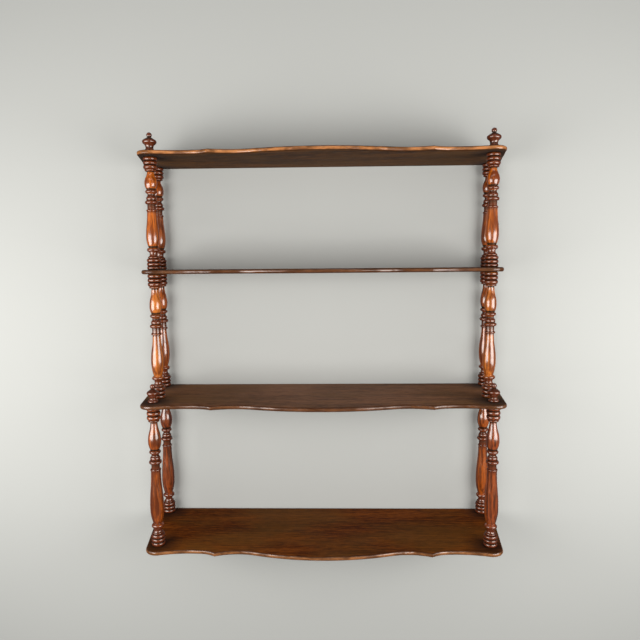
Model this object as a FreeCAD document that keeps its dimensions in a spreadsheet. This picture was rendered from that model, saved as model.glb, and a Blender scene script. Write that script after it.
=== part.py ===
import FreeCAD, Part
import os

import Sketcher

# A hanging wall shelf: four shaped boards carried by columns of turned spindles.
# Frame: X to the right, Y towards the back, Z up, in millimetres. The back plane is Y = 0
# and the origin is the middle of the top board's back edge.

doc = FreeCAD.newDocument("wall_shelf")
sheet = doc.addObject("Spreadsheet::Sheet", "Sizes")


# Driving dimensions

SIZES = {
    # boards
    "board_thickness": 7.5,
    "edge_round": 3.2,
    "back_post_x": 315.0,
    "front_post_x": 295.0,
    "back_post_inset": 14.5,
    "upper_post_depth": 113.0,
    "lower_post_depth": 145.0,
    "end_overhang": 21.0,
    "corner_round": 22.0,
    # front edge, from the middle outwards; margins are measured forward of the front posts
    "bow_rise": 19.6,
    "inner_hollow_x": 148.0,
    "inner_hollow_margin": 22.0,
    "cusp_x": 189.0,
    "cusp_margin": 29.5,
    "hollow_blend_x": 215.0,
    "outer_hollow_x": 232.0,
    "outer_hollow_margin": 20.1,
    "outer_hollow_radius": 235.0,
    # blind hole that the shelf hangs by
    "hanging_hole_radius": 3.0,
    "hanging_hole_depth": 5.0,
    "hanging_hole_inset": 12.0,
    # tenons and sockets
    "tenon_radius": 4.5,
    "tenon_engagement": 7.0,
    "tenon_clearance": 0.15,
    "socket_end_gap": 1.0,
    # turned members that all spindles share
    "bead_crest_radius": 11.8,
    "bead_groove_radius": 9.9,
    "small_bead_height": 3.5,
    "small_bead_crest_radius": 9.6,
    "small_bead_groove_radius": 8.0,
    "neck_radius": 5.9,
    "bulb_foot_radius": 7.1,
    "shoulder_ring_height": 6.0,
    "shoulder_ring_radius": 10.0,
    "upper_cove_height": 5.6,
    "upper_cove_radius": 6.3,
    "button_height": 6.4,
    "button_radius": 8.8,
    "button_groove_radius": 7.8,
    "waist_ring_height": 6.5,
    "waist_ring_radius": 11.0,
    "collar_height": 8.8,
    "collar_radius": 7.3,
    "thin_ring_height": 3.8,
    "thin_ring_radius": 9.3,
    "vase_foot_radius": 7.2,
    "foot_ring_height": 7.0,
    "foot_ring_radius": 10.7,
    "lower_cove_height": 8.0,
    "lower_cove_radius": 6.5,
    "ogee_share": 0.5,
    # members that all finials share
    "finial_ball_radius": 4.5,
    "finial_ball_foot_height": 3.7,
    "finial_ball_neck_radius": 3.0,
    "finial_cone_height": 4.6,
    "finial_shoulder_height": 3.0,
    "finial_shoulder_width": 1.65,
    "finial_ogee_share": 0.35,
    # turned caps and end nuts
    "cap_radius": 6.4,
    "cap_turn_height": 1.6,
    "cap_neck_height": 0.9,
    "cap_neck_radius": 6.0,
    "cap_collar_height": 2.6,
    "cap_collar_radius": 9.2,
    "cap_collar_groove_radius": 8.2,
}

# The finials of the top board are larger than those of the third
FINIAL_SIZES = {
    "upper_finial": {
        "bulb_radius": 12.0,
        "waist_height": 10.3,
        "waist_radius": 6.5,
        "flare_height": 3.8,
        "flare_radius": 9.2,
        "base_height": 4.0,
        "base_radius": 10.2,
    },
    "lower_finial": {
        "bulb_radius": 10.4,
        "waist_height": 9.2,
        "waist_radius": 5.8,
        "flare_height": 3.4,
        "flare_radius": 7.8,
        "base_height": 3.9,
        "base_radius": 9.0,
    },
}

# Each tier of spindles has its own height, bead sizes, swellings and proportions
TIER_SIZES = {
    "top_tier": {
        "height": 194.0,
        "head_bead_height": 7.0,
        "foot_bead_height": 6.6,
        "bulb_radius": 10.8,
        "vase_top_radius": 8.3,
        "vase_radius": 11.3,
        "bulb_share": 0.335,
        "bulb_crest_share": 0.63,
        "vase_crest_share": 0.707,
    },
    "middle_tier": {
        "height": 222.5,
        "head_bead_height": 7.2,
        "foot_bead_height": 7.2,
        "bulb_radius": 10.3,
        "vase_top_radius": 7.0,
        "vase_radius": 11.2,
        "bulb_share": 0.382,
        "bulb_crest_share": 0.7,
        "vase_crest_share": 0.64,
    },
    "low_tier": {
        "height": 252.0,
        "head_bead_height": 7.8,
        "foot_bead_height": 7.1,
        "bulb_radius": 11.3,
        "vase_top_radius": 8.4,
        "vase_radius": 12.0,
        "bulb_share": 0.345,
        "bulb_crest_share": 0.68,
        "vase_crest_share": 0.7,
    },
}
SIDES = ("left", "right")
# turned members of one height on every spindle
FIXED_MEMBERS = ("shoulder_ring", "upper_cove", "button", "waist_ring", "collar", "thin_ring",
                 "foot_ring", "lower_cove")

for group, group_sizes in (FINIAL_SIZES | TIER_SIZES).items():
    for size_name, number in group_sizes.items():
        SIZES[group + "_" + size_name] = number

for row, (alias, number) in enumerate(SIZES.items(), start=1):
    sheet.set("A%d" % row, alias.replace("_", " "))
    sheet.set("B%d" % row, str(number))
    sheet.setAlias("B%d" % row, alias)
doc.recompute()


class Term:
    """A value worked out from the sheet: its expression for FreeCAD and its present number."""

    def __init__(self, text, number):
        self.text = text
        self.number = number

    def join(self, sign, other, number):
        other_text = other.text if isinstance(other, Term) else str(other)
        return Term("(%s %s %s)" % (self.text, sign, other_text), number)

    def __add__(self, other):
        return self.join("+", other, self.number + number_of(other))

    def __sub__(self, other):
        return self.join("-", other, self.number - number_of(other))

    def __mul__(self, other):
        return self.join("*", other, self.number * number_of(other))

    def __truediv__(self, other):
        return self.join("/", other, self.number / number_of(other))

    def __neg__(self):
        return Term("(-%s)" % self.text, -self.number)


def number_of(value):
    return value.number if isinstance(value, Term) else value


def size(alias):
    return Term("Sizes." + alias, float(sheet.get(alias)))


NOTHING = Term("0", 0.0)
thickness = size("board_thickness")
half_thickness = thickness / 2
tenon_radius = size("tenon_radius")
tenon_length = thickness + size("tenon_engagement")
hole_radius = tenon_radius + size("tenon_clearance")
socket_depth = size("tenon_engagement") + size("socket_end_gap")

START, END, CENTRE = 1, 2, 3
ROOT, X_AXIS, Y_AXIS = -1, -1, -2
CLOSE = 1e-6


def vector(x, y):
    return FreeCAD.Vector(number_of(x), number_of(y), 0)


def origin_plane(body, role):
    return next(plane for plane in body.Origin.OriginFeatures if plane.Role == role)


class Drawing:
    """One sketch: its geometry, the rules that hold it and the sizes that drive those rules."""

    def __init__(self, body, name, role):
        self.sketch = body.newObject("Sketcher::SketchObject", name)
        self.sketch.AttachmentSupport = (origin_plane(body, role), [""])
        self.sketch.MapMode = "FlatFace"
        self.rules = []
        self.drivers = []

    def rule(self, kind, *details, driver=None):
        values = details if driver is None else (*details, driver.number)
        self.rules.append(Sketcher.Constraint(kind, *values))
        self.drivers.append(driver)

    def pin_x(self, geometry, point, distance):
        if distance is NOTHING:
            self.rule("PointOnObject", geometry, point, Y_AXIS)
        else:
            self.rule("DistanceX", ROOT, START, geometry, point, driver=distance)

    def pin_y(self, geometry, point, distance):
        self.rule("DistanceY", ROOT, START, geometry, point, driver=distance)

    def pin(self, geometry, point, x, y):
        self.pin_x(geometry, point, x)
        self.pin_y(geometry, point, y)

    def point_on(self, geometry, x, y):
        """A construction point that the line or arc passes through."""
        point = self.sketch.addGeometry(Part.Point(vector(x, y)), True)
        self.pin(point, START, x, y)
        self.rule("PointOnObject", point, START, geometry)

    def circle(self, x, y, radius):
        upright = FreeCAD.Vector(0, 0, 1)
        circle = self.sketch.addGeometry(Part.Circle(vector(x, y), upright, radius.number))
        self.pin(circle, CENTRE, x, y)
        self.rule("Radius", circle, driver=radius)

    def loop(self, points, arcs, tangent_at=()):
        """Closed loop of lines and of arcs, given as the segment's number and a point on the arc.

        Returns the corners of the loop, each as the segment that leaves it and the end of that segment.
        """
        following = points[1:] + points[:1]
        for segment, (first, last) in enumerate(zip(points, following)):
            if segment in arcs:
                self.sketch.addGeometry(Part.Arc(first, arcs[segment], last))
            else:
                self.sketch.addGeometry(Part.LineSegment(first, last))
        ends = []
        for segment, first in enumerate(points):
            apart = (self.sketch.getPoint(segment, START) - first).Length
            ends.append((START, END) if apart < CLOSE else (END, START))
        for segment, (leaving, _) in enumerate(ends):
            before = (segment - 1) % len(points)
            kind = "Tangent" if segment in tangent_at else "Coincident"
            self.rule(kind, before, ends[before][1], segment, leaving)
        return [(segment, leaving) for segment, (leaving, _) in enumerate(ends)]

    def finish(self):
        self.sketch.addConstraint(self.rules)
        for number, driver in enumerate(self.drivers):
            if driver is not None:
                self.sketch.setExpression("Constraints[%d]" % number, driver.text)
        return self.sketch


def new_body(label, x, y, z):
    body = doc.addObject("PartDesign::Body", label)
    body.Label = label
    body.setExpression("Placement.Base.x", x.text)
    body.setExpression("Placement.Base.y", y.text)
    body.setExpression("Placement.Base.z", z.text)
    return body


def add_feature(body, kind, name):
    feature = body.newObject("PartDesign::" + kind, name)
    body.Tip = feature
    return feature


def sided(distance, side):
    """A distance from the middle of the shelf, negative on the left."""
    return distance if side == "right" else -distance


# Boards

def draw_board(drawing, post_depth):
    """A board from above: bow, inner hollows, cusps, outer hollows, round corners, ends and back edge."""
    inner_x = size("inner_hollow_x")
    inner_y = -(post_depth + size("inner_hollow_margin"))
    bow_y = inner_y - size("bow_rise")
    cusp_x = size("cusp_x")
    cusp_y = -(post_depth + size("cusp_margin"))
    blend_x = size("hollow_blend_x")
    outer_x = size("outer_hollow_x")
    outer_y = -(post_depth + size("outer_hollow_margin"))
    outer_radius = size("outer_hollow_radius")
    corner_radius = size("corner_round")
    front_end_x = size("front_post_x") + size("end_overhang")
    back_end_x = size("back_post_x") + size("end_overhang")
    splay = (back_end_x - front_end_x) / (post_depth - size("back_post_inset"))
    back_corner_x = back_end_x + splay * size("back_post_inset")
    # the inner hollow's circle is level at its deepest point and passes through the cusp
    run = cusp_x - inner_x
    rise = inner_y - cusp_y
    inner_radius = (run * run + rise * rise) / (rise * 2)

    # starting figures of the right half; the rules below then hold every point
    blend_flatness, corner_fullness = 16, 0.4

    def outer_hollow(x):
        away = x - outer_x.number
        return vector(x, outer_y.number - away ** 2 / (2 * outer_radius.number))

    crest = vector(0, bow_y)
    deepest = vector(inner_x, inner_y)
    chord = deepest - crest
    both_radii = chord.dot(chord) / (2 * chord.y)
    inflection = crest + chord * (1 - inner_radius.number / both_radii)
    cusp = vector(cusp_x, cusp_y)
    blend = outer_hollow(blend_x.number)
    sharp_corner = outer_hollow(front_end_x.number)
    back_corner = vector(back_corner_x, 0)
    round_start = outer_hollow(front_end_x.number - corner_radius.number)
    end_way = (back_corner - sharp_corner).normalize()
    round_end = sharp_corner + end_way * corner_radius.number
    blend_sag = vector(0, (blend - cusp).Length / blend_flatness)
    corner_sag = (sharp_corner - (round_start + round_end) * 0.5) * corner_fullness
    right = [inflection, cusp, blend, round_start, round_end, back_corner]
    right_arcs = [
        deepest,
        (cusp + blend) * 0.5 + blend_sag,
        outer_hollow((blend.x + round_start.x) / 2),
        (round_start + round_end) * 0.5 + corner_sag,
    ]

    # the loop runs from the left inflection along the bow, round the right half and back on the left
    def mirrored(point):
        return FreeCAD.Vector(-point.x, point.y, 0)

    points = [mirrored(inflection)] + right + [mirrored(point) for point in right[:0:-1]]
    count = len(points)
    arcs = {0: crest}
    for segment, middle in enumerate(right_arcs, start=1):
        arcs[segment] = middle
        arcs[count - segment] = mirrored(middle)
    corners = drawing.loop(points, arcs, tangent_at=(0, 1, 3, 4, 5, 8, 9, 10))
    inner, outer, corner, end = 1, 3, 4, 5
    bow = 0

    drawing.pin_x(bow, CENTRE, NOTHING)
    drawing.point_on(bow, NOTHING, bow_y)
    # the left cusp comes level with the right one because the bow touches both inner hollows
    drawing.pin_y(*corners[2], cusp_y)
    for side in SIDES:
        def corner_of(number):
            return corners[number] if side == "right" else corners[(1 - number) % count]

        def segment_of(number):
            return number if side == "right" else count - number

        drawing.pin(segment_of(inner), CENTRE, sided(inner_x, side), inner_y - inner_radius)
        drawing.pin_x(*corner_of(2), sided(cusp_x, side))
        drawing.pin_x(*corner_of(3), sided(blend_x, side))
        drawing.pin(segment_of(outer), CENTRE, sided(outer_x, side), outer_y - outer_radius)
        drawing.rule("Radius", segment_of(outer), driver=outer_radius)
        drawing.rule("Radius", segment_of(corner), driver=corner_radius)
        drawing.pin_x(*corner_of(6), sided(back_corner_x, side))
        drawing.rule("PointOnObject", *corner_of(6), X_AXIS)
        drawing.point_on(segment_of(end), sided(front_end_x, side), -post_depth)


def on_back(edge):
    return all(abs(vertex.Y) < CLOSE for vertex in edge.Vertexes)


def cut_holes(body, name, holes, depth):
    """Round holes up into the board from its underside."""
    drawing = Drawing(body, name + "_sketch", "XY_Plane")
    for x, y, radius in holes:
        drawing.circle(x, y, radius)
    sketch = drawing.finish()
    pocket = add_feature(body, "Pocket", name)
    pocket.Profile = sketch
    pocket.Reversed = True
    pocket.setExpression("Length", depth.text)


def make_board(label, z, post_depth, front_hole_depths):
    body = new_body(label, NOTHING, NOTHING, z - half_thickness)
    drawing = Drawing(body, label + "_outline", "XY_Plane")
    draw_board(drawing, post_depth)
    outline = drawing.finish()
    board = add_feature(body, "Pad", label + "_board")
    board.Profile = outline
    board.setExpression("Length", thickness.text)
    doc.recompute()

    # the rim is rounded above and below, but not along the back
    flats = [face for face in board.Shape.Faces if abs(face.normalAt(0, 0).z) > 1 - CLOSE]
    rim = [edge for face in flats for edge in face.Edges if not on_back(edge)]
    names = ["Edge%d" % number for number, edge in enumerate(board.Shape.Edges, start=1)
             if any(edge.isSame(other) for other in rim)]
    rounding = add_feature(body, "Fillet", label + "_rim")
    rounding.Base = (board, names)
    rounding.setExpression("Radius", size("edge_round").text)

    holes = []
    for side in SIDES:
        holes.append((sided(size("back_post_x"), side), -size("back_post_inset"), hole_radius))
        for depth in front_hole_depths:
            holes.append((sided(size("front_post_x"), side), -depth, hole_radius))
    cut_holes(body, label + "_post_holes", holes, thickness)
    return body


# Turned pieces

class Turning:
    """Half profile of a turned piece, drawn from its top down the outside to its foot.

    Each member takes the profile down by a height and out or in to an end radius.
    """

    def __init__(self, radius, z):
        self.z = z
        self.radii = [radius]
        self.points = [vector(radius, z)]
        self.drops = []
        self.arcs = {}
        self.level_centres = []
        self.bead_centres = []

    def go(self, radius, down=NOTHING, up=NOTHING):
        """Straight line: a step when it stays level, a shank when it keeps its radius, else a cone."""
        z = self.points[-1].y - down.number + up.number
        self.drops.append((down, up))
        self.radii.append(radius)
        self.points.append(vector(radius, z))

    def bead(self, height, crest):
        """Arc from groove to groove whose crest stands halfway down."""
        groove = self.radii[-1]
        half = height / 2
        stand = crest - groove
        bend = (stand * stand + half * half) / (stand * 2)
        segment = len(self.drops)
        self.arcs[segment] = vector(crest, self.points[-1].y - half.number)
        self.bead_centres.append((segment, crest - bend))
        self.go(groove, down=height)

    def swell(self, height, radius):
        """Arc whose lower end is upright."""
        segment = len(self.drops)
        self.level_centres.append((segment, segment + 1))
        self.go(radius, down=height)
        self.arcs[segment] = self.middle_of_arc(self.points[-1], self.points[-2])

    def settle(self, height, radius):
        """Arc whose upper end is upright."""
        segment = len(self.drops)
        self.level_centres.append((segment, segment))
        self.go(radius, down=height)
        self.arcs[segment] = self.middle_of_arc(self.points[-2], self.points[-1])

    def middle_of_arc(self, upright, other):
        chord = other - upright
        bend = chord.dot(chord) / (2 * chord.x)
        centre = upright + FreeCAD.Vector(bend, 0, 0)
        way = upright + chord * 0.5 - centre
        return centre + way * (abs(bend) / way.Length)

    def ogee(self, height, radius, share):
        """Two arcs, upright at their far ends, that meet on the straight line between those ends."""
        begin = self.radii[-1]
        self.settle(height * share, begin + (radius - begin) * share)
        self.swell(height - height * share, radius)

    def cove(self, height, throat, radius):
        """Hollow with its throat halfway down."""
        self.swell(height / 2, throat)
        self.settle(height / 2, radius)

    def tenon(self):
        """The tenon below the shoulder, through the board and into the next piece."""
        self.go(tenon_radius)
        self.go(tenon_radius, down=tenon_length)
        self.go(NOTHING)

    def draw(self, drawing):
        corners = drawing.loop(self.points, self.arcs)
        drawing.pin_y(*corners[0], self.z)
        for corner, radius in zip(corners, self.radii):
            drawing.pin_x(*corner, radius)
        for (down, up), upper, lower in zip(self.drops, corners, corners[1:]):
            if down is not NOTHING:
                drawing.rule("DistanceY", *lower, *upper, driver=down)
            elif up is not NOTHING:
                drawing.rule("DistanceY", *upper, *lower, driver=up)
            else:
                drawing.rule("Horizontal", *upper, *lower)
        for segment, corner in self.level_centres:
            drawing.rule("Horizontal", segment, CENTRE, *corners[corner])
        for segment, centre_x in self.bead_centres:
            drawing.pin_x(segment, CENTRE, centre_x)


def socketed(z):
    """Profile that begins in the socket of a piece whose upper shoulder is at height z."""
    profile = Turning(NOTHING, z - socket_depth)
    profile.go(hole_radius)
    profile.go(hole_radius, up=socket_depth)
    return profile


def spindle_profile(tier):
    def of_tier(name):
        return size(tier + "_" + name)

    def member(name):
        return size(name + "_height"), size(name + "_radius")

    height = of_tier("height")
    head_bead = of_tier("head_bead_height")
    foot_bead = of_tier("foot_bead_height")
    small_bead = size("small_bead_height")
    fixed = (head_bead + foot_bead) * 3 + small_bead * 2
    for name in FIXED_MEMBERS:
        fixed = fixed + size(name + "_height")
    # the bulb and the vase share what the fixed members leave of the height
    bulb = (height - fixed) * of_tier("bulb_share")
    bulb_swell = bulb * of_tier("bulb_crest_share")
    vase = height - fixed - bulb
    vase_swell = vase * of_tier("vase_crest_share")
    ogee_share = size("ogee_share")

    profile = socketed(height)
    profile.go(size("bead_groove_radius"))
    for _ in range(3):
        profile.bead(head_bead, size("bead_crest_radius"))
    profile.go(size("small_bead_groove_radius"))
    profile.bead(small_bead, size("small_bead_crest_radius"))
    profile.go(size("neck_radius"))
    profile.ogee(bulb_swell, of_tier("bulb_radius"), ogee_share)
    profile.settle(bulb - bulb_swell, size("bulb_foot_radius"))
    profile.bead(*member("shoulder_ring"))
    profile.cove(*member("upper_cove"), size("button_groove_radius"))
    profile.bead(*member("button"))
    profile.bead(*member("waist_ring"))
    profile.go(size("collar_radius"))
    profile.go(size("collar_radius"), down=size("collar_height"))
    profile.bead(*member("thin_ring"))
    profile.go(of_tier("vase_top_radius"))
    profile.ogee(vase_swell, of_tier("vase_radius"), ogee_share)
    profile.settle(vase - vase_swell, size("vase_foot_radius"))
    profile.bead(*member("foot_ring"))
    profile.cove(*member("lower_cove"), size("small_bead_groove_radius"))
    profile.bead(small_bead, size("small_bead_crest_radius"))
    profile.go(size("bead_groove_radius"))
    for _ in range(3):
        profile.bead(foot_bead, size("bead_crest_radius"))
    profile.tenon()
    return profile


def finial_profile(finial):
    """A ball on a cone that rounds over into a bulb, then a waist that flares to the base."""
    def of_finial(name):
        return size(finial + "_" + name)

    ball = size("finial_ball_radius")
    ball_foot = size("finial_ball_foot_height")
    cone = size("finial_cone_height")
    shoulder = size("finial_shoulder_height")
    bulb_radius = of_finial("bulb_radius")
    waist = of_finial("waist_height")
    flare = of_finial("flare_height")
    base = of_finial("base_height")
    profile = Turning(NOTHING, ball + ball_foot + cone + shoulder + waist + flare + base)
    profile.swell(ball, ball)
    profile.settle(ball_foot, size("finial_ball_neck_radius"))
    profile.go(bulb_radius - size("finial_shoulder_width"), down=cone)
    profile.swell(shoulder, bulb_radius)
    profile.ogee(waist, of_finial("waist_radius"), size("finial_ogee_share"))
    profile.settle(flare, of_finial("flare_radius"))
    profile.bead(base, of_finial("base_radius"))
    profile.tenon()
    return profile


def cap_profile():
    crown = size("cap_radius")
    turn = size("cap_turn_height")
    neck = size("cap_neck_height")
    collar = size("cap_collar_height")
    profile = Turning(NOTHING, crown + turn + neck + collar)
    profile.swell(crown, crown)
    profile.settle(turn, size("cap_neck_radius"))
    profile.go(size("cap_neck_radius"), down=neck)
    profile.go(size("cap_collar_groove_radius"))
    profile.bead(collar, size("cap_collar_radius"))
    profile.tenon()
    return profile


def nut_profile():
    """The cap turned upside down, with a socket in place of the tenon."""
    profile = socketed(NOTHING)
    profile.go(size("cap_collar_groove_radius"))
    profile.bead(size("cap_collar_height"), size("cap_collar_radius"))
    profile.go(size("cap_neck_radius"))
    profile.go(size("cap_neck_radius"), down=size("cap_neck_height"))
    profile.swell(size("cap_turn_height"), size("cap_radius"))
    profile.settle(size("cap_radius"), NOTHING)
    return profile


def turn_piece(label, column, z, profile):
    body = new_body(label, *column, z)
    drawing = Drawing(body, label + "_profile", "XZ_Plane")
    profile.draw(drawing)
    sketch = drawing.finish()
    solid = add_feature(body, "Revolution", label + "_turned")
    solid.Profile = sketch
    solid.ReferenceAxis = (sketch, ["V_Axis"])
    solid.Angle = 360
    return body


# Assembly

top_z = NOTHING
upper_z = top_z - thickness - size("top_tier_height")
lower_z = upper_z - thickness - size("middle_tier_height")
bottom_z = lower_z - thickness - size("low_tier_height")
upper_depth = size("upper_post_depth")
lower_depth = size("lower_post_depth")

top_board = make_board("shelf_top", top_z, upper_depth, [upper_depth])
hanging_hole = (NOTHING, -size("hanging_hole_inset"), size("hanging_hole_radius"))
cut_holes(top_board, "shelf_top_hanging_hole", [hanging_hole], size("hanging_hole_depth"))
pieces = [
    top_board,
    make_board("shelf_upper", upper_z, upper_depth, [upper_depth]),
    make_board("shelf_lower", lower_z, lower_depth, [upper_depth, lower_depth]),
    make_board("shelf_bottom", bottom_z, lower_depth, [lower_depth]),
]

for side in SIDES:
    back = (sided(size("back_post_x"), side), -size("back_post_inset"))
    upper_front = (sided(size("front_post_x"), side), -upper_depth)
    lower_front = (sided(size("front_post_x"), side), -lower_depth)
    turned = [
        ("cap_back", back, top_z + half_thickness, cap_profile()),
        ("finial_top", upper_front, top_z + half_thickness, finial_profile("upper_finial")),
        ("spindle_top_back", back, upper_z + half_thickness, spindle_profile("top_tier")),
        ("spindle_top_front", upper_front, upper_z + half_thickness, spindle_profile("top_tier")),
        ("spindle_middle_back", back, lower_z + half_thickness, spindle_profile("middle_tier")),
        ("spindle_middle_front", upper_front, lower_z + half_thickness, spindle_profile("middle_tier")),
        ("nut_lower", upper_front, lower_z - half_thickness, nut_profile()),
        ("finial_lower", lower_front, lower_z + half_thickness, finial_profile("lower_finial")),
        ("spindle_low_back", back, bottom_z + half_thickness, spindle_profile("low_tier")),
        ("spindle_low_front", lower_front, bottom_z + half_thickness, spindle_profile("low_tier")),
        ("nut_bottom_back", back, bottom_z - half_thickness, nut_profile()),
        ("nut_bottom_front", lower_front, bottom_z - half_thickness, nut_profile()),
    ]
    for name, column, z, profile in turned:
        pieces.append(turn_piece(name + "_" + side, column, z, profile))

doc.recompute()

for item in doc.Objects:
    if "Invalid" in item.State or "Error" in item.State:
        raise RuntimeError("%s did not compute: %s" % (item.Name, item.State))

os.makedirs("parts", exist_ok=True)
for piece in pieces:
    if piece.Shape.isNull() or not piece.Shape.isValid() or len(piece.Shape.Solids) != 1:
        raise RuntimeError("%s is not one sound solid" % piece.Label)
    piece.Shape.exportStep("parts/%s.step" % piece.Label)
print("exported %d pieces" % len(pieces))
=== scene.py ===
# %% [markdown]
# # A hanging shelf of turned mahogany
#
# The real shelf is four thin boards with serpentine fronts, held apart by turned spindles. It comes
# apart by unscrewing: every spindle ends in a tenon that goes through a board into the next piece.
# The construction model already holds each piece at its real size and in its real place, so nothing here
# is moved or resized. This lesson gives the pieces their surfaces: polished turnings with dark grooves,
# and waxed boards with worn, shiny edges.

# %% Load the construction model
import math

import bpy
import numpy as np
from mathutils import Matrix, Vector


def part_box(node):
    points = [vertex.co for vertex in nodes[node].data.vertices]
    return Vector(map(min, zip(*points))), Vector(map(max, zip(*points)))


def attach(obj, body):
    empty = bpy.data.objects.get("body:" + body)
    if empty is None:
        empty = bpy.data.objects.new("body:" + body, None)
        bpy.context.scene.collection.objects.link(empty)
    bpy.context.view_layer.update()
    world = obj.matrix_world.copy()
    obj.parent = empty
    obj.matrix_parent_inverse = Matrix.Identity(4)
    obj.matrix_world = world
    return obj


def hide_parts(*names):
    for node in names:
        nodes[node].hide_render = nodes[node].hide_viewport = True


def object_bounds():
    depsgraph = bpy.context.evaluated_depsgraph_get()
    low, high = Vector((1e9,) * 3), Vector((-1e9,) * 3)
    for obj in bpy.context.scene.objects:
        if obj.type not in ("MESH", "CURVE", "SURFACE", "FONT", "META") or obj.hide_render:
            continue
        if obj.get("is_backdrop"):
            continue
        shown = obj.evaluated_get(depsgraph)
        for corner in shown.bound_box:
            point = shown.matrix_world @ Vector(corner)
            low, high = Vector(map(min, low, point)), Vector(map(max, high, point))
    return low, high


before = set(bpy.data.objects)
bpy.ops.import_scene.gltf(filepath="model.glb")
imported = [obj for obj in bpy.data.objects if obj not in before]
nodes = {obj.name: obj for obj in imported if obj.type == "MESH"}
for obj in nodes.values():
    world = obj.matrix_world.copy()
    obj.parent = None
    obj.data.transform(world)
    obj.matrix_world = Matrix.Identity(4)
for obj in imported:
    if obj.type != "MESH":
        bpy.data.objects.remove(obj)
cad_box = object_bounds()
boards = sorted(name for name in nodes if name.startswith("shelf_"))
turnings = sorted(set(nodes) - set(boards))
print(len(boards), "boards and", len(turnings), "turned pieces")

# %% [markdown]
# ## Reading a turned profile
#
# A turner sees a spindle as one line: the radius at each height. That line could be typed in again here,
# but the construction model holds it already. Its surfaces of revolution are closed on a seam, on the +X
# side of the lathe axis, and the corners that lie on that seam are the profile itself. Taking them from
# there keeps both models the same shape when a profile is changed later. Only the socket's two sizes are
# given again, because its corners lie among the outside's heights and have to be told apart.

# %% Profiles from the seams
SOCKET_RADIUS = 0.00465
SOCKET_DEPTH = 0.008
SEAM_WIDTH = 2e-6
ROUNDING = 1e-7


def has_socket(node):
    return node.startswith(("spindle", "nut"))


def has_tenon(node):
    return not node.startswith("nut")


def corner_points(node):
    """The corners of a node's triangles, as an n by 3 array."""
    mesh = nodes[node].data
    points = np.empty(len(mesh.vertices) * 3, np.float32)
    mesh.vertices.foreach_get("co", points)
    return points.reshape(-1, 3).astype(float)


def seam_profile(points, axis):
    """Heights and radii on the half plane y = axis y, x > axis x, from the top down: radius = x - axis x.

    Where two points share a height, as on a flat shoulder, the one nearer to the radius above comes first.
    """
    across = points[:, 0] - axis[0]
    on_seam = (np.abs(points[:, 1] - axis[1]) < SEAM_WIDTH) & (across > -SEAM_WIDTH)
    pairs = np.column_stack([-points[on_seam, 2], np.abs(across[on_seam])])
    pairs = np.unique(np.round(pairs / ROUNDING), axis=0) * ROUNDING
    heights, radii = -pairs[:, 0], pairs[:, 1].copy()
    level = np.flatnonzero(np.abs(np.diff(heights)) < ROUNDING)
    level = level[level > 0]
    above = radii[level - 1]
    wrong = level[np.abs(radii[level] - above) > np.abs(radii[level + 1] - above)]
    radii[wrong], radii[wrong + 1] = radii[wrong + 1], radii[wrong].copy()
    return heights, radii


def socket_first(heights, radii):
    """The same profile with its socket, which the height order mixes in, put before the outside."""
    top = heights.max()
    in_socket = (radii < SOCKET_RADIUS + SEAM_WIDTH) & (heights > top - SOCKET_DEPTH - SEAM_WIDTH)
    floor = top - SOCKET_DEPTH
    heights = np.concatenate([[floor, floor, top], heights[~in_socket]])
    radii = np.concatenate([[0, SOCKET_RADIUS, SOCKET_RADIUS], radii[~in_socket]])
    return heights, radii


def turned_profile(node):
    """Axis, heights and radii of a turned node, closed on the axis at both ends."""
    points = corner_points(node)
    middle = (points.min(axis=0) + points.max(axis=0)) / 2
    axis = np.round(middle[:2], 4)
    heights, radii = seam_profile(points, axis)
    if has_socket(node):
        heights, radii = socket_first(heights, radii)
    return axis, heights, radii


profiles = {node: turned_profile(node) for node in turnings}
counts = [len(heights) for _, heights, _ in profiles.values()]
print("profiles of", min(counts), "to", max(counts), "points")

# %% [markdown]
# ## Grooves, crests and dark stretches
#
# A century of wax and dust sits in the grooves between the beads, and hands and dusters have kept the
# crests bright. The dark given to the grooves also paints the shade that falls into them. Where beads and
# rings lie close together the polish between them has darkened too. A shader could guess all this from the
# light that reaches a point, but on a turned piece the profile says it exactly. A point lies in a valley
# when the profile rises both above and below it, and the lower of the two rises is the valley's depth.
# Crests are valleys upside down, beads and rings are narrow crests, and a dark stretch has one of them near
# it on both sides.

# %% Valley depth, crest height and dark stretches
GROOVE_REACH = 0.0029
FULL_GROOVE = 0.0012
FULL_CREST = 0.0016
BEAD_REACH = 0.0036
BEAD_CREST = 0.40
STRETCH_REACH = 0.013
STRETCH_MARGIN = 0.0012
END_CORNERS = 3
BOARD_RADIUS = 0.1


def largest_within(heights, values, reach, side):
    """For each point, the largest value among the points on that side (+1 above, -1 below) within reach."""
    away = (heights[None, :] - heights[:, None]) * side
    near = (away >= 0) & (away <= reach)
    return np.where(near, values[None, :], -np.inf).max(axis=1)


def valley(heights, radii, reach, full):
    """Depth below the lower of the two rises beside each point, as a share of full, up to 1."""
    above = largest_within(heights, radii, reach, 1)
    below = largest_within(heights, radii, reach, -1)
    return np.clip((np.minimum(above, below) - radii) / full, 0, 1)


def dark_stretch(heights, radii):
    """1 from one bead or ring to the next, if they lie within reach, and a margin further; 0 elsewhere.

    A crest is a bead from BEAD_CREST on, and fully so from twice that.
    """
    bead = np.clip(valley(heights, -radii, BEAD_REACH, FULL_CREST) / BEAD_CREST - 1, 0, 1)
    above = largest_within(heights, bead, STRETCH_REACH, 1)
    below = largest_within(heights, bead, STRETCH_REACH, -1)
    between = np.minimum(above, below)
    upwards = largest_within(heights, between, STRETCH_MARGIN, 1)
    downwards = largest_within(heights, between, STRETCH_MARGIN, -1)
    return np.maximum(upwards, downwards)


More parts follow.
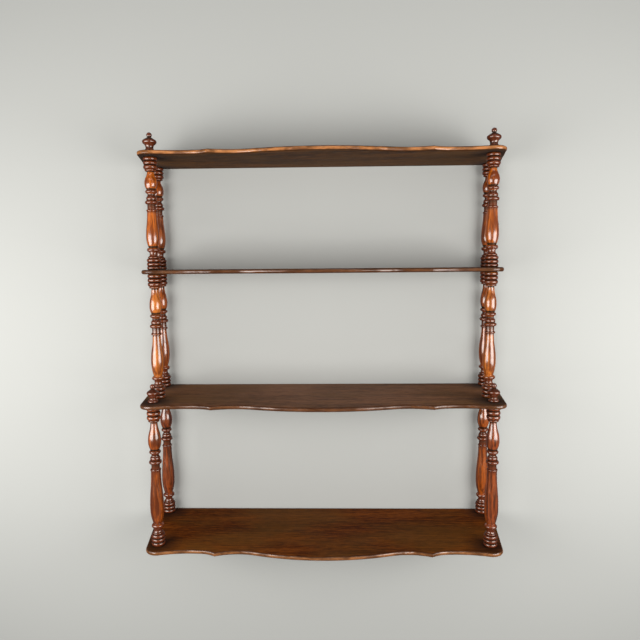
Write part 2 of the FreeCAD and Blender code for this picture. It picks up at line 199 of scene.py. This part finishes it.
def wear_along(node, heights, radii):
    """Groove, crest and stretch, from 0 to 1, along a profile. A board beside a shoulder makes a groove."""
    first = END_CORNERS if has_socket(node) else 0
    hidden_last = END_CORNERS if has_tenon(node) else 0
    outside = slice(first, len(heights) - hidden_last)
    z, r = heights[outside], radii[outside]
    closed_z = np.concatenate([z[:1], z, z[-1:]])
    closed_r = np.concatenate([[BOARD_RADIUS * has_socket(node)], r, [BOARD_RADIUS * has_tenon(node)]])
    groove = valley(closed_z, closed_r, GROOVE_REACH, FULL_GROOVE)[1:-1]
    crest = valley(z, -r, GROOVE_REACH, FULL_CREST)
    stretch = dark_stretch(z, r)
    hidden = (first, hidden_last)
    return {"groove": np.pad(groove, hidden, constant_values=1), "crest": np.pad(crest, hidden),
            "stretch": np.pad(stretch, hidden, constant_values=1)}


wear = {node: wear_along(node, heights, radii) for node, (_, heights, radii) in profiles.items()}
dark = [np.mean(marks["groove"] > 0.5) for marks in wear.values()]
print("between", round(min(dark), 2), "and", round(max(dark), 2), "of each profile lies in grooves")

# %% [markdown]
# ## Turning on the lathe
#
# A turned piece could be made with a Screw modifier, but its surface is simple enough to write out: a
# function of the place along the profile and of the angle round the axis. Wood shrinks more along its
# growth rings than across them, so an old turning is very slightly oval. The oval grows with the radius
# beyond the socket's, so tenons and sockets stay round and keep their fit.

# %% The turned surface
SEGMENTS = 96
OVAL_SHARE = 0.008
SHARP_EDGE = math.radians(32)
GOLDEN_ANGLE = math.pi * (3 - math.sqrt(5))


def turned_points(axis, heights, radii, oval_angle):
    """P(i, t) = (ax + r cos t, ay + r sin t, z_i), where r is r_i less a share of r_i - socket radius.

    The share is OVAL_SHARE times (1 - cos 2(t - oval angle)) / 2. The first and last profile points lie on
    the axis, so they are one point each.
    """
    angles = np.arange(SEGMENTS) * (2 * np.pi / SEGMENTS)
    swing = OVAL_SHARE * np.maximum(radii[1:-1] - SOCKET_RADIUS, 0)
    ring_radii = radii[1:-1, None] - swing[:, None] * (1 - np.cos(2 * (angles - oval_angle))) / 2
    rings = np.empty((len(heights) - 2, SEGMENTS, 3))
    rings[..., 0] = axis[0] + ring_radii * np.cos(angles)
    rings[..., 1] = axis[1] + ring_radii * np.sin(angles)
    rings[..., 2] = heights[1:-1, None]
    poles = [[axis[0], axis[1], heights[0]], [axis[0], axis[1], heights[-1]]]
    return np.concatenate([rings.reshape(-1, 3), poles])


def turned_faces(ring_count):
    """Quads between neighbouring rings and triangles round the two poles, all facing outwards."""
    ring = np.arange(SEGMENTS)
    following = (ring + 1) % SEGMENTS
    upper = (np.arange(ring_count - 1) * SEGMENTS)[:, None]
    lower = upper + SEGMENTS
    quads = np.stack([upper + ring, lower + ring, lower + following, upper + following], axis=-1)
    top, foot = ring_count * SEGMENTS, ring_count * SEGMENTS + 1
    last = (ring_count - 1) * SEGMENTS
    top_fan = np.stack([np.full(SEGMENTS, top), ring, following], axis=-1)
    foot_fan = np.stack([np.full(SEGMENTS, foot), last + following, last + ring], axis=-1)
    return quads.reshape(-1, 4), np.concatenate([top_fan, foot_fan])


def mesh_of(name, points, quads, triangles):
    """A mesh from whole arrays: corners of all quads, then of all triangles."""
    mesh = bpy.data.meshes.new(name)
    corners = np.concatenate([quads.ravel(), triangles.ravel()]).astype(np.int32)
    sizes = np.repeat([4, 3], [len(quads), len(triangles)])
    starts = np.concatenate([[0], np.cumsum(sizes)[:-1]]).astype(np.int32)
    mesh.vertices.add(len(points))
    mesh.vertices.foreach_set("co", points.astype(np.float32).ravel())
    mesh.loops.add(len(corners))
    mesh.loops.foreach_set("vertex_index", corners)
    mesh.polygons.add(len(sizes))
    mesh.polygons.foreach_set("loop_start", starts)
    mesh.update(calc_edges=True)
    mesh.shade_smooth()
    mesh.set_sharp_from_angle(angle=SHARP_EDGE)
    return mesh


def paint(mesh, name, along):
    """An attribute that is the same all round each ring."""
    rings = np.repeat(along[1:-1], SEGMENTS)
    values = np.concatenate([rings, along[[0, -1]]]).astype(np.float32)
    mesh.attributes.new(name, "FLOAT", "POINT").data.foreach_set("value", values)


def turn(node, oval_angle):
    axis, heights, radii = profiles[node]
    points = turned_points(axis, heights, radii, oval_angle)
    mesh = mesh_of("turned_" + node, points, *turned_faces(len(heights) - 2))
    for mark, along in wear[node].items():
        paint(mesh, mark, along)
    piece = bpy.data.objects.new("turned_" + node, mesh)
    bpy.context.scene.collection.objects.link(piece)
    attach(piece, "root")
    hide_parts(node)
    return piece


turned = {node: turn(node, number * GOLDEN_ANGLE) for number, node in enumerate(turnings)}
print(len(turned), "pieces turned,", sum(len(piece.data.polygons) for piece in turned.values()), "faces")

# %% [markdown]
# ## A way to write shaders
#
# A wood is a stack of patterns, one over another: growth layers, streaks, pores, wax. Node by node that
# takes many lines, so this small class adds a node, sets or links its inputs by name, and hands back
# the output that the next pattern needs. Most patterns in wood are drawn out along its fibres, so a
# finish knows which way its grain runs, and a pattern is given by two numbers: its scale across the
# grain, per metre, and the share of that scale along it.

# %% A recipe for a finish
ALONG_BOARD, UP_SPINDLE = 0, 2
WAVE_RADIANS = 20
AMBER_GLEAM = (1.0, 0.66, 0.36, 1)
DUST_ROUGHNESS = 0.22


class Finish:
    """A material under construction, with a method for each kind of pattern in it."""

    def __init__(self, name, grain_axis=UP_SPINDLE):
        self.material = bpy.data.materials.new(name)
        self.material.use_nodes = True
        self.tree = self.material.node_tree
        self.tree.nodes.clear()
        self.grain_axis = grain_axis

    def add(self, kind, settings=(), **inputs):
        node = self.tree.nodes.new(kind)
        for setting, value in dict(settings).items():
            setattr(node, setting, value)
        for name, value in inputs.items():
            self.put(node.inputs[name.replace("_", " ")], value)
        return node

    def put(self, socket, value):
        if isinstance(value, bpy.types.NodeSocket):
            self.tree.links.new(value, socket)
        else:
            socket.default_value = value

    def place(self):
        return self.add("ShaderNodeTexCoord").outputs["Object"]

    def facing_up(self):
        """1 where the surface faces up, -1 where it faces down."""
        facing = self.add("ShaderNodeTexCoord").outputs["Normal"]
        return self.add("ShaderNodeSeparateXYZ", Vector=facing).outputs["Z"]

    def mapped(self, place, scale, location=(0, 0, 0), rotation=(0, 0, 0)):
        node = self.add("ShaderNodeMapping", Vector=place, Location=location, Rotation=rotation,
                        Scale=scale)
        return node.outputs["Vector"]

    def drawn_out(self, place, share, rotation=(0, 0, 0)):
        """The place with its measure along the grain multiplied by share."""
        scale = [1, 1, 1]
        scale[self.grain_axis] = share
        return self.mapped(place, scale, rotation=rotation)

    def noise(self, place, scale, detail=3.0, roughness=0.5):
        node = self.add("ShaderNodeTexNoise", Vector=place, Scale=scale, Detail=detail, Roughness=roughness)
        return node.outputs["Fac"]

    def fibres(self, place, pattern, detail=3.0, roughness=0.5):
        """Noise drawn out along the grain. A pattern is a scale and the share of it along the grain."""
        scale, share = pattern
        return self.noise(self.drawn_out(place, share), scale, detail, roughness)

    def layers(self, place, per_metre, distortion):
        """Growth layers across x, dark and pale in turn, from 0 to 1.

        At scale 1 the wave node has WAVE_RADIANS in a metre, so one layer takes tau / WAVE_RADIANS of it.
        """
        node = self.add("ShaderNodeTexWave", {"wave_type": "BANDS", "bands_direction": "X"}, Vector=place,
                        Scale=per_metre * math.tau / WAVE_RADIANS, Distortion=distortion, Detail=2.0)
        return node.outputs["Fac"]

    def spread(self, value, low, high, to_low=0.0, to_high=1.0):
        """The value stretched so that low to high becomes to_low to to_high, and clamped there."""
        node = self.add("ShaderNodeMapRange", Value=value, From_Min=low, From_Max=high,
                        To_Min=to_low, To_Max=to_high)
        return node.outputs["Result"]

    def math(self, operation, first, second=0.0):
        node = self.add("ShaderNodeMath", {"operation": operation})
        self.put(node.inputs[0], first)
        self.put(node.inputs[1], second)
        return node.outputs[0]

    def times(self, first, *others):
        """The product of all values."""
        for other in others:
            first = self.math("MULTIPLY", first, other)
        return first

    def blend(self, parts):
        """Sum of values times their shares, given as pairs."""
        total = 0.0
        for value, share in parts:
            total = self.math("ADD", self.times(value, share), total)
        return total

    def mix(self, share, first, second):
        node = self.add("ShaderNodeMixRGB", Fac=share, Color1=first, Color2=second)
        return node.outputs["Color"]

    def attribute(self, name):
        return self.add("ShaderNodeAttribute", {"attribute_name": name}).outputs["Fac"]

    def bump(self, height, distance, strength):
        node = self.add("ShaderNodeBump", Height=height, Distance=distance, Strength=strength)
        return node.outputs["Normal"]

    def polish(self, colour, roughness, normal, specular, coat, coat_roughness, coat_index, dust=0.0):
        """Stained wood with an amber gleam under a clear coat, with dust on it where it has any."""
        shader = self.add("ShaderNodeBsdfPrincipled", Base_Color=colour, Roughness=roughness, Normal=normal,
                          Specular_IOR_Level=specular, Specular_Tint=AMBER_GLEAM, Coat_Weight=coat,
                          Coat_Roughness=coat_roughness, Coat_IOR=coat_index, Coat_Normal=normal,
                          Sheen_Weight=dust, Sheen_Roughness=DUST_ROUGHNESS)
        self.add("ShaderNodeOutputMaterial", Surface=shader.outputs["BSDF"])
        return self.material


steps = [name for name in vars(Finish) if not name.startswith("_")]
print("finishes have", len(steps), "steps to choose from")

# %% [markdown]
# ## Polished turnings
#
# The spindles are mahogany under a shellac polish. Their grain runs up the spindle, and where the vase
# swells the lathe cuts through the growth layers, which makes long pointed flames. Solid texture does
# the same: the patterns lie in space, and the turned surface cuts through them. An image wrapped round
# each spindle would show a seam and stretch on the beads.

# %% The turnings' figure
LAYERS_PER_METRE = 150
LAYER_WAVER = 3.5
GRAIN_LEAN = 0.15
PLANK_SHARE = 0.12
CLOUD_SCALE = 55
STREAKS = 260, 0.045
FLAMES = 460, 0.06
THREADS = 950, 0.03
VEINS = 560, 0.3
PORES = 1900, 0.035
PORE_SHARE = 0.45
OLD_POLISH = (0.090, 0.0165, 0.0050, 1)


def turned_figure(wood, place, pale, deep, layer_angle):
    """The bare wood's colour, and the height of its grain for the bump."""
    lean = (GRAIN_LEAN, GRAIN_LEAN, math.radians(layer_angle))
    plank = wood.drawn_out(place, PLANK_SHARE, rotation=lean)
    layer = wood.layers(plank, LAYERS_PER_METRE, LAYER_WAVER)
    streak = wood.fibres(place, STREAKS, roughness=0.6)
    flame = wood.fibres(place, FLAMES, roughness=0.65)
    thread = wood.fibres(place, THREADS, detail=2)
    cloud = wood.noise(plank, CLOUD_SCALE, detail=2)
    tone = wood.blend([(layer, 0.20), (streak, 0.70), (flame, 0.70), (thread, 0.25), (cloud, 0.60)])
    colour = wood.mix(wood.spread(tone, 1.09, 1.32), deep, pale)
    vein = wood.fibres(plank, VEINS, detail=2, roughness=0.6)
    colour = wood.mix(wood.spread(vein, 0.54, 0.64, 0.0, 0.85), colour, deep)
    pores = wood.spread(wood.fibres(place, PORES, detail=2), 0.60, 0.72)
    colour = wood.mix(wood.times(pores, PORE_SHARE), colour, OLD_POLISH)
    return colour, wood.blend([(streak, 0.6), (flame, 0.6), (pores, -0.4)])


print("figure of", LAYERS_PER_METRE, "growth layers to the metre")

# %% [markdown]
# ## Wear on the turnings
#
# Over the bare wood lies a century of use: polish that has darkened between the beads, and grime in the
# grooves, where the coat of polish is dull too. The grooves' near-black also paints the shade that falls
# into them, and within the dark stretches the faces that look upwards are made darker still. It could be
# painted on by hand, but the marks along the profiles say already where it lies, so the shader only has to
# read them.

# %% The turnings' wear and polish
# Near-black for the grooves: grime, and also painted shade that falls into them.
GRIME_AND_SHADE = (0.005, 0.0020, 0.0013, 1)
# Dark colour for the faces that look upwards within the dark stretches.
DARK_UPWARD_FACE = (0.017, 0.0055, 0.0030, 1)
GRIME_SCALE = 160
SMEAR_SCALE = 70
TURNED_RELIEF = 0.0003


def turned_wear(wood, place, colour):
    """The colour with its wear and the grooves' painted shade, how much grime and painted shade lies at a
    point, and how much of the coat is left.
    """
    groove, crest, stretch = [wood.attribute(mark) for mark in ("groove", "crest", "stretch")]
    darkened = wood.times(stretch, wood.spread(crest, 0.0, 1.0, 0.95, 0.75))
    colour = wood.mix(darkened, colour, OLD_POLISH)
    # Within the dark stretches, faces that look upwards are made darker.
    upward_darkening = wood.times(stretch, wood.spread(wood.facing_up(), 0.35, 0.80, 0.0, 0.70))
    colour = wood.mix(upward_darkening, colour, DARK_UPWARD_FACE)
    patchy = wood.spread(wood.noise(place, GRIME_SCALE), 0.25, 0.60, 0.80, 1.0)
    # How much near-black a point gets: grime, and painted shade, deepest in the grooves.
    grime_and_shade = wood.times(wood.spread(groove, 0.05, 0.55), patchy)
    return wood.mix(grime_and_shade, colour, GRIME_AND_SHADE), grime_and_shade, wood.spread(stretch, 0.0, 1.0, 1.0, 0.70)


def turned_wood(name, pale, deep, layer_angle):
    wood = Finish(name, UP_SPINDLE)
    place = wood.place()
    bare, grain = turned_figure(wood, place, pale, deep, layer_angle)
    colour, grime_and_shade, coat_left = turned_wear(wood, place, bare)
    smear = wood.noise(place, SMEAR_SCALE, detail=4, roughness=0.6)
    roughness = wood.blend([(wood.spread(smear, 0.3, 0.7, 0.30, 0.42), 1.0), (grime_and_shade, 0.25)])
    normal = wood.bump(wood.blend([(grain, 1.0), (smear, 0.6)]), TURNED_RELIEF, strength=0.35)
    coat = wood.times(coat_left, wood.spread(grime_and_shade, 0.0, 1.0, 1.0, 0.15))
    return wood.polish(colour, roughness, normal, specular=0.36, coat=coat, coat_roughness=0.14,
                       coat_index=1.75)


turning_woods = {
    "dark": turned_wood("polished_dark_mahogany", pale=(0.130, 0.0290, 0.0100, 1),
                        deep=(0.060, 0.0135, 0.0060, 1), layer_angle=20),
    "red": turned_wood("polished_red_mahogany", pale=(0.215, 0.0420, 0.0080, 1),
                       deep=(0.054, 0.0095, 0.0033, 1), layer_angle=35),
    "brown": turned_wood("polished_brown_mahogany", pale=(0.285, 0.0590, 0.0060, 1),
                         deep=(0.088, 0.0150, 0.0025, 1), layer_angle=70),
    "amber": turned_wood("polished_amber_mahogany", pale=(0.430, 0.0980, 0.0070, 1),
                         deep=(0.140, 0.0240, 0.0025, 1), layer_angle=80),
    "golden": turned_wood("polished_golden_mahogany", pale=(0.450, 0.1250, 0.0160, 1),
                          deep=(0.140, 0.0280, 0.0035, 1), layer_angle=85),
}
print(len(turning_woods), "woods for the turnings")

# %% [markdown]
# ## A plank for each spindle
#
# Every spindle was cut from another plank, and no two are quite alike: the upper front ones are amber and
# golden, and those at the back and in the low tier are browner and redder. Small pieces that hands reach
# less often, such as finials, caps and nuts, are dark.

# %% Planks
SMALL_PIECES = "dark"
PLANKS = {
    "spindle_top_front_left": "amber",
    "spindle_middle_front_left": "golden",
    "spindle_low_front_left": "brown",
    "spindle_top_back_left": "brown",
    "spindle_middle_back_left": "brown",
    "spindle_low_back_left": "red",
    "spindle_top_front_right": "amber",
    "spindle_middle_front_right": "golden",
    "spindle_low_front_right": "red",
    "spindle_top_back_right": "brown",
    "spindle_middle_back_right": "brown",
    "spindle_low_back_right": "brown",
}
planks = {node: PLANKS.get(node, SMALL_PIECES) for node in turned}
for node, piece in turned.items():
    piece.data.materials.append(turning_woods[planks[node]])
print({plank: list(planks.values()).count(plank) for plank in turning_woods})

# %% [markdown]
# ## Waxed boards
#
# The boards are the same wood, darker and duller, because their flats have been waxed over and over. The
# construction model's boards have the right shape, with their rounded rims, so they stay and only get a
# finish. Topside and underside could have a material each, but the direction that the surface faces tells
# the waxed side from the dry one, so one finish serves both. The grain runs along the board in short flecks
# and long streaks. Round the feet of the spindles, where no duster reaches, the wax is thickest, and the
# dark there also paints the shade where spindle and board meet.

# %% The boards' grain and flats
BOARD_STREAKS = 240, 0.03
BOARD_THREADS = 900, 0.02
BOARD_CLOUDS = 20, 0.12
BOARD_FLECKS = 420, 0.14
BOARD_PORES = 1700, 0.03
WAX_PATCHES = 12, 0.5
FEET_SHADE_AND_WAX_REACH = 0.046
FOOT_RADIUS = 0.010
FEET_WAX_AND_SHADE = 0.85
# Near-black for the boards' pores, and for the dark wax round the spindles' feet, which also paints the
# shade where they meet the board.
DARK_WAX_AND_SHADE = (0.014, 0.006, 0.004, 1)
OLIVE_WAX = (0.074, 0.0330, 0.0058, 1)
DRY_PALE, DRY_DEEP = (0.106, 0.0380, 0.0046, 1), (0.020, 0.0070, 0.0008, 1)
BACK_SPINDLE = "spindle_low_back_right"


def board_grain(wood, place):
    """How pale the wood is, from 0 to 1, where its pores are, and the height of its grain for the bump."""
    streak = wood.fibres(place, BOARD_STREAKS, detail=4, roughness=0.6)
    thread = wood.fibres(place, BOARD_THREADS, detail=2)
    cloud = wood.fibres(place, BOARD_CLOUDS)
    fleck = wood.fibres(place, BOARD_FLECKS, roughness=0.7)
    grain = wood.blend([(streak, 0.40), (thread, 0.30), (cloud, 0.45), (fleck, 0.65)])
    pores = wood.spread(wood.fibres(place, BOARD_PORES, detail=2), 0.60, 0.72)
    return wood.spread(grain, 0.80, 1.01), pores, wood.blend([(streak, 0.5), (pores, -1.0)])


def post_place(node):
    """A column's place seen from above, folded onto the right half."""
    low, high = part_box(node)
    middle = (low + high) / 2
    return abs(middle.x), abs(middle.y), 0


def wax_and_shade_round_feet(wood, place, posts):
    """1 at a spindle's foot, falling to 0 at the set reach from its axis: dark wax, and painted shade where
    the spindle meets the board. Both ends are alike: |x| is used.
    """
    folded = wood.add("ShaderNodeVectorMath", {"operation": "ABSOLUTE"}, Vector=place).outputs["Vector"]
    flat = wood.mapped(folded, scale=(1, 1, 0))
    nearest = FEET_SHADE_AND_WAX_REACH
    for post in posts:
        gap = wood.add("ShaderNodeVectorMath", {"operation": "DISTANCE"})
        wood.put(gap.inputs[0], flat)
        wood.put(gap.inputs[1], post)
        nearest = wood.math("MINIMUM", gap.outputs["Value"], nearest)
    return wood.spread(nearest, FOOT_RADIUS, FEET_SHADE_AND_WAX_REACH, 1.0, 0.0)


def board_flats(wood, place, shade, top, front_spindle):
    """The flats' colour: waxed above and dry below, with olive patches, and dark wax round the feet that
    also paints the shade where spindles meet the board.
    """
    top_pale, top_deep = top
    topside = wood.mix(shade, top_deep, top_pale)
    underside = wood.mix(shade, DRY_DEEP, DRY_PALE)
    flats = wood.mix(wood.spread(wood.facing_up(), -0.5, 0.5), underside, topside)
    patch = wood.fibres(place, WAX_PATCHES)
    flats = wood.mix(wood.spread(patch, 0.42, 0.64, 0.0, 0.5), flats, OLIVE_WAX)
    # Dark wax round the spindles' feet, darkened further as painted shade where they meet the board.
    wax = wax_and_shade_round_feet(wood, place, [post_place(BACK_SPINDLE), post_place(front_spindle)])
    return wood.mix(wood.times(wax, FEET_WAX_AND_SHADE), flats, DARK_WAX_AND_SHADE)


print("feet of", len([node for node in nodes if node.startswith("spindle")]), "spindles to wax round")

# %% [markdown]
# ## Rubbed rims
#
# A board's rim is touched and dusted more than its flats, so its middle is worn paler and shines unevenly.
# That pale middle, between a darker top and bottom, also paints the light and shade across the rim's
# rounded edge. Only the back edge, which no hand reaches, stays dark. The rim runs smoothly into the flats,
# so it isn't cut off as a strip of its own: the height within the board's thickness tells where it is. A
# little dust greys the whole board where it is seen from low down.

# %% The boards' rims and finish
CHAFING = 90, 0.35
BOARD_SMEARS = 40, 0.4
RIM_SCALE = 45
RIM_COAT = 0.85
BOARD_PORE_SHARE = 0.5
BOARD_RELIEF = 0.00015
UNREACHED, REACHED = 0.001, 0.006
# Dark of the rim near its flats and at the back edge: unworn wood, and painted shade at the top and bottom
# of the rounded edge.
DARK_EDGE = (0.034, 0.0120, 0.0050, 1)


def height_in_board(wood, place, node):
    """0 halfway up the board's thickness and 1 on its flats, and the distance from its back edge."""
    low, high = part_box(node)
    middle, half = (low + high) / 2, (high - low) / 2
    centred = wood.mapped(place, scale=(1, -1, 1 / half.z), location=(0, high.y, -middle.z / half.z))
    parts = wood.add("ShaderNodeSeparateXYZ", Vector=centred).outputs
    return wood.math("ABSOLUTE", parts["Z"]), parts["Y"]


def board_rim(wood, place, node, worn_and_highlit_rim):
    """Where the rim is, from 0 to 1, its colour and its coat. The colour is pale in the rim's middle, which
    is wear and also a painted highlight band, and dark towards the flats, which is unworn wood and also
    painted shade. The back edge isn't worn pale or coated.
    """
    level, from_back = height_in_board(wood, place, node)
    rim = wood.spread(level, 0.985, 0.91)
    unevenness = wood.noise(place, RIM_SCALE)
    # The rim's middle is worn paler, and that pale band also paints the highlight that the rounded edge
    # catches.
    worn_and_highlit = wood.spread(wood.blend([(level, 1.0), (unevenness, 0.2)]), 0.96, 0.52)
    reached = wood.spread(from_back, UNREACHED, REACHED)
    chafed = wood.spread(wood.fibres(place, CHAFING, roughness=0.65), 0.40, 0.60, 0.30, 1.0)
    colour = wood.mix(wood.times(worn_and_highlit, chafed, reached), DARK_EDGE, worn_and_highlit_rim)
    return rim, colour, wood.times(rim, reached, chafed, RIM_COAT)


def board_wood(node, front_spindle, worn_and_highlit_rim, top):
    wood = Finish("waxed_" + node, ALONG_BOARD)
    place = wood.place()
    shade, pores, grain = board_grain(wood, place)
    flats = board_flats(wood, place, shade, top, front_spindle)
    rim, rim_colour, coat = board_rim(wood, place, node, worn_and_highlit_rim)
    colour = wood.mix(rim, flats, rim_colour)
    colour = wood.mix(wood.times(pores, BOARD_PORE_SHARE), colour, DARK_WAX_AND_SHADE)
    smear = wood.fibres(place, BOARD_SMEARS, detail=4, roughness=0.6)
    roughness = wood.spread(smear, 0.3, 0.7, 0.46, 0.60)
    normal = wood.bump(grain, BOARD_RELIEF, strength=0.4)
    return wood.polish(colour, roughness, normal, specular=0.012, coat=coat, coat_roughness=0.17,
                       coat_index=1.8, dust=0.038)


DARK_RIM = (0.110, 0.040, 0.013, 1)
BROWN_RIM = (0.242, 0.094, 0.030, 1)
GOLDEN_RIM = (0.405, 0.155, 0.047, 1)
BROWN_TOP = (0.126, 0.0315, 0.0028, 1), (0.034, 0.0072, 0.0008, 1)
# Paler, greyer tops for the two middle boards are a painted reflection: the sheen of the backdrop seen at a
# grazing angle.
SHEEN_GREYED_TOP = (0.168, 0.0680, 0.0250, 1), (0.055, 0.0200, 0.0075, 1)
BOARDS = {
    "shelf_top": ("spindle_top_front_right", GOLDEN_RIM, BROWN_TOP),
    "shelf_upper": ("spindle_top_front_right", DARK_RIM, SHEEN_GREYED_TOP),
    "shelf_lower": ("spindle_low_front_right", DARK_RIM, SHEEN_GREYED_TOP),
    "shelf_bottom": ("spindle_low_front_right", BROWN_RIM, BROWN_TOP),
}
for node in boards:
    materials = nodes[node].data.materials
    materials.clear()
    materials.append(board_wood(node, *BOARDS[node]))
print(len(boards), "boards waxed")

# %% [markdown]
# ## The backdrop and the floor
#
# A plain pale backdrop stands just behind the shelf, above a plain floor. Neither belongs to the object,
# so both are stage. A sheet that close would hide the shelf from behind, shut out the light there and
# grey the polish with its reflection. So both sheets only show from the front, are clear to light on
# its way to the shelf, and are mirrored dimly. They still catch the shelf's shadow.

# %% The stage
BACKDROP_GAP = 0.004
HALF_WIDTH = 1.6
BACKDROP_TOP = 1.1
FLOOR_HEIGHT = -1.05
FLOOR_REACH = 2.2
BACKDROP_GREY = (0.375, 0.375, 0.353, 1)
FLOOR_GREY = (0.50, 0.50, 0.49, 1)
DIM = (0.06, 0.06, 0.06, 1)


def stage_paint(name, colour):
    paint_job = Finish(name)
    rays = paint_job.add("ShaderNodeLightPath").outputs
    behind = paint_job.add("ShaderNodeNewGeometry").outputs["Backfacing"]
    shown = paint_job.math("MAXIMUM", rays["Is Camera Ray"], rays["Is Glossy Ray"])
    shade = paint_job.mix(rays["Is Glossy Ray"], colour, DIM)
    matt = paint_job.add("ShaderNodeBsdfDiffuse", Color=shade)
    clear = paint_job.add("ShaderNodeBsdfTransparent")
    choice = paint_job.add("ShaderNodeMixShader", Fac=paint_job.math("SUBTRACT", shown, behind))
    paint_job.put(choice.inputs[1], clear.outputs["BSDF"])
    paint_job.put(choice.inputs[2], matt.outputs["BSDF"])
    paint_job.add("ShaderNodeOutputMaterial", Surface=choice.outputs["Shader"])
    return paint_job.material


def stage_sheet(name, lower_left, upper_left, colour):
    """A rectangle from two corners on its left; the right corners mirror them."""
    mesh = bpy.data.meshes.new(name)
    lower_right, upper_right = [(-x, y, z) for x, y, z in (lower_left, upper_left)]
    mesh.from_pydata([lower_left, lower_right, upper_right, upper_left], [], [(0, 1, 2, 3)])
    mesh.materials.append(stage_paint(name + "_paint", colour))
    sheet = bpy.data.objects.new(name, mesh)
    bpy.context.scene.collection.objects.link(sheet)
    sheet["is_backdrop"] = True
    return sheet


backdrop = stage_sheet("backdrop", (-HALF_WIDTH, BACKDROP_GAP, FLOOR_HEIGHT),
                       (-HALF_WIDTH, BACKDROP_GAP, BACKDROP_TOP), BACKDROP_GREY)
floor = stage_sheet("floor", (-HALF_WIDTH, -FLOOR_REACH, FLOOR_HEIGHT),
                    (-HALF_WIDTH, FLOOR_REACH, FLOOR_HEIGHT), FLOOR_GREY)
print("stage:", backdrop.name, "and", floor.name)

# %% [markdown]
# ## Light
#
# The highlights tell where the light stood: every spindle shows two, a quarter of its width in from each
# side. They are short and low on the bulbs of the top tier, long on the middle vases, and missing from
# the low vases, so the lights stand level with the middle tier. Two broad soft lamps at arm's length to
# the left and right of the camera put them there, and a long narrow lamp above it draws thin arcs over
# the beads. An even grey world fills the shadows. The polish mirrors it more faintly, as it would dim
# surroundings, and a weak lamp behind the shelf keeps its back readable.

# %% Lamps and world
LAMP_ASIDE, LAMP_FORWARD, LAMP_HEIGHT = 0.80, -0.80, -0.34
LAMP_SIZE = (0.95, 0.58)
LAMP_POWER = 13.0
STRIP_PLACE = (0, -0.9, 0.6)
STRIP_SIZE = (1.4, 0.06)
STRIP_POWER = 1.3
BACK_PLACE = (0, 1.2, 0.1)
BACK_SIZE = (0.8, 0.8)
BACK_POWER = 3.0
AMBIENT = 0.58
MIRRORED = 0.08


def lamp(name, place, target, size, power):
    light = bpy.data.lights.new(name, "AREA")
    light.shape = "RECTANGLE"
    light.size, light.size_y = size
    light.energy = power
    holder = bpy.data.objects.new(name, light)
    holder.location = place
    holder.rotation_euler = (Vector(target) - Vector(place)).to_track_quat("-Z", "Y").to_euler()
    bpy.context.scene.collection.objects.link(holder)
    return holder


lowest, highest = cad_box
centre = (lowest + highest) / 2
lamps = [
    lamp("lamp_left", (-LAMP_ASIDE, LAMP_FORWARD, LAMP_HEIGHT), centre, LAMP_SIZE, LAMP_POWER),
    lamp("lamp_right", (LAMP_ASIDE, LAMP_FORWARD, LAMP_HEIGHT), centre, LAMP_SIZE, LAMP_POWER),
    lamp("lamp_strip", STRIP_PLACE, centre, STRIP_SIZE, STRIP_POWER),
    lamp("lamp_behind", BACK_PLACE, centre, BACK_SIZE, BACK_POWER),
]
world = bpy.data.worlds.new("even_grey")
world.use_nodes = True
sky = world.node_tree
rays = sky.nodes.new("ShaderNodeLightPath")
level = sky.nodes.new("ShaderNodeMapRange")
level.inputs["To Min"].default_value = AMBIENT
level.inputs["To Max"].default_value = MIRRORED
surround = sky.nodes["Background"]
surround.inputs["Color"].default_value = (1, 1, 1, 1)
sky.links.new(rays.outputs["Is Glossy Ray"], level.inputs["Value"])
sky.links.new(level.outputs["Result"], surround.inputs["Strength"])
bpy.context.scene.world = world
print(len(lamps), "lamps")

# %% [markdown]
# ## The camera
#
# The photograph was taken from about a metre away, level with the second board, looking a little down. The
# camera's place and its three turns come from the four board levels and the six column axes: one camera
# puts all of them where the photograph shows them.

# %% Camera
CAMERA_PLACE = Vector((0.01876, -1.05606, -0.19570))
PITCH_DOWN, YAW, ROLL = 0.0978, -0.0234, -0.0082
FOCAL_PIXELS, FRAME_PIXELS, SENSOR = 536.49, 640, 36.0

level_forward = Vector((math.sin(YAW), math.cos(YAW), 0))
forward = level_forward * math.cos(PITCH_DOWN) - Vector((0, 0, math.sin(PITCH_DOWN)))
level_right = Vector((math.cos(YAW), -math.sin(YAW), 0))
level_up = level_right.cross(forward)
right = level_right * math.cos(ROLL) + level_up * math.sin(ROLL)
up = level_up * math.cos(ROLL) - level_right * math.sin(ROLL)
turned_to = Matrix((right, up, -forward)).transposed()

lens = bpy.data.cameras.new("camera")
lens.sensor_width = SENSOR
lens.lens = FOCAL_PIXELS * SENSOR / FRAME_PIXELS
camera = bpy.data.objects.new("camera", lens)
camera.matrix_world = Matrix.Translation(CAMERA_PLACE) @ turned_to.to_4x4()
bpy.context.scene.collection.objects.link(camera)
bpy.context.scene.camera = camera
bpy.context.scene.view_settings.view_transform = "Standard"
print("lens of", round(lens.lens, 2), "mm")

# %% [markdown]
# ## Closing
#
# The looks must not change the size of the shelf, so both boxes are written down side by side.

# %% Sizes and finish
shown_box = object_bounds()
boxes = {"cad": cad_box, "visual": shown_box}
for name, (low, high) in boxes.items():
    print(name, "box", [round(side, 4) for side in high - low])
